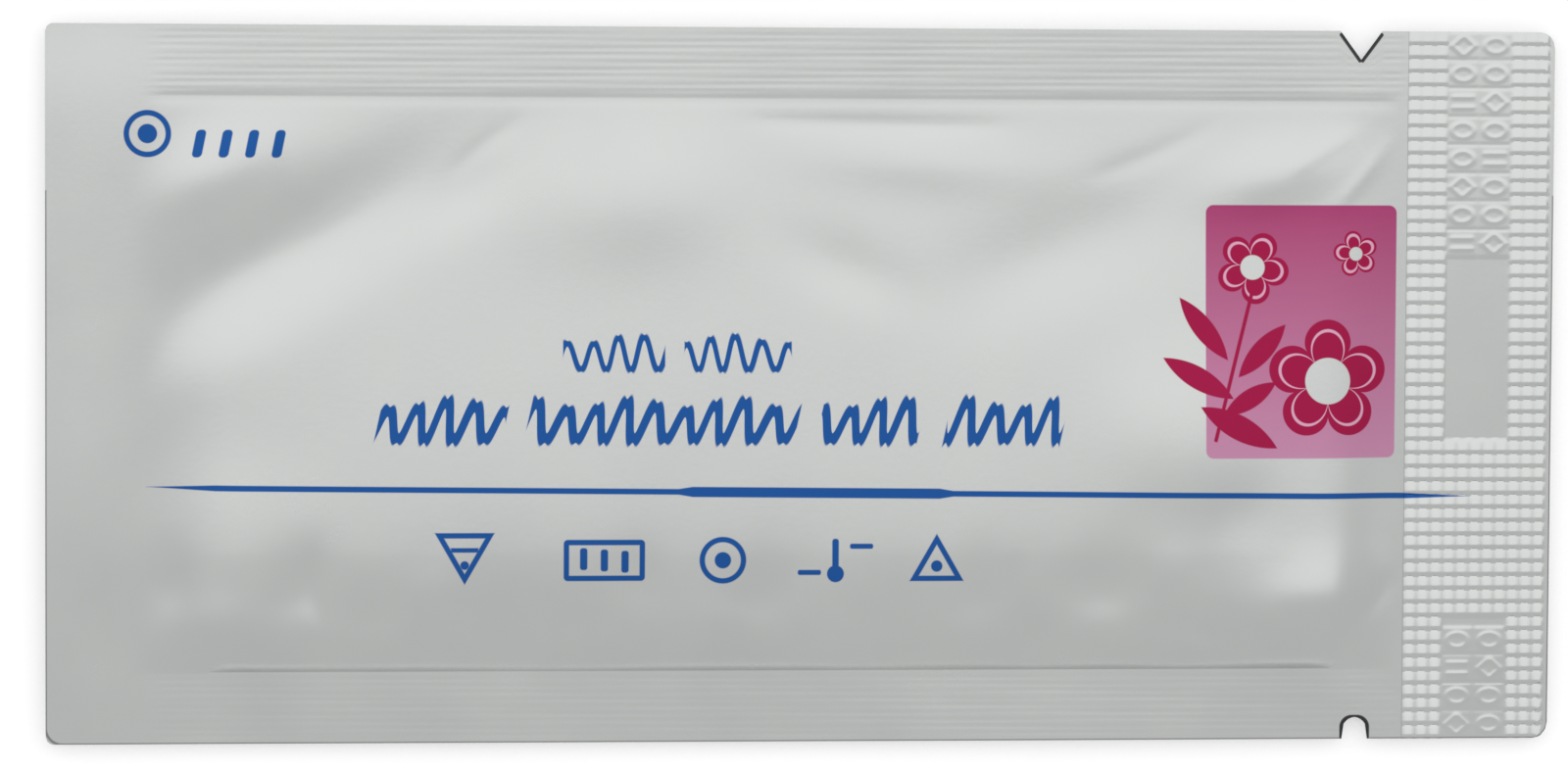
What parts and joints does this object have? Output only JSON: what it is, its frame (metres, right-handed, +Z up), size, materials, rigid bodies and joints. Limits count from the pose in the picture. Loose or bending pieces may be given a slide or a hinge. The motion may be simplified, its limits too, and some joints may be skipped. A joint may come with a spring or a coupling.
{
  "type": "sealed foil pouch of a pregnancy test strip",
  "caption": "Flat sealed foil sachet that holds a dipstick pregnancy test, with a puffed middle, ribbed side seals, a knurled end seal and tear notches.",
  "frame": {"origin": "under the middle of the sachet, on the surface that it lies on", "axes": "+X along the sachet towards the knurled closing seal, +Y across it towards the V-shaped tear notch, +Z up through the printed front foil"},
  "size_m": [0.11, 0.052, 0.0033],
  "materials": {
    "foil": "satin silver laminate, printed on the front"
  },
  "bodies": {
    "root": {"foil_pouch": "foil"}
  },
  "joints": []
}
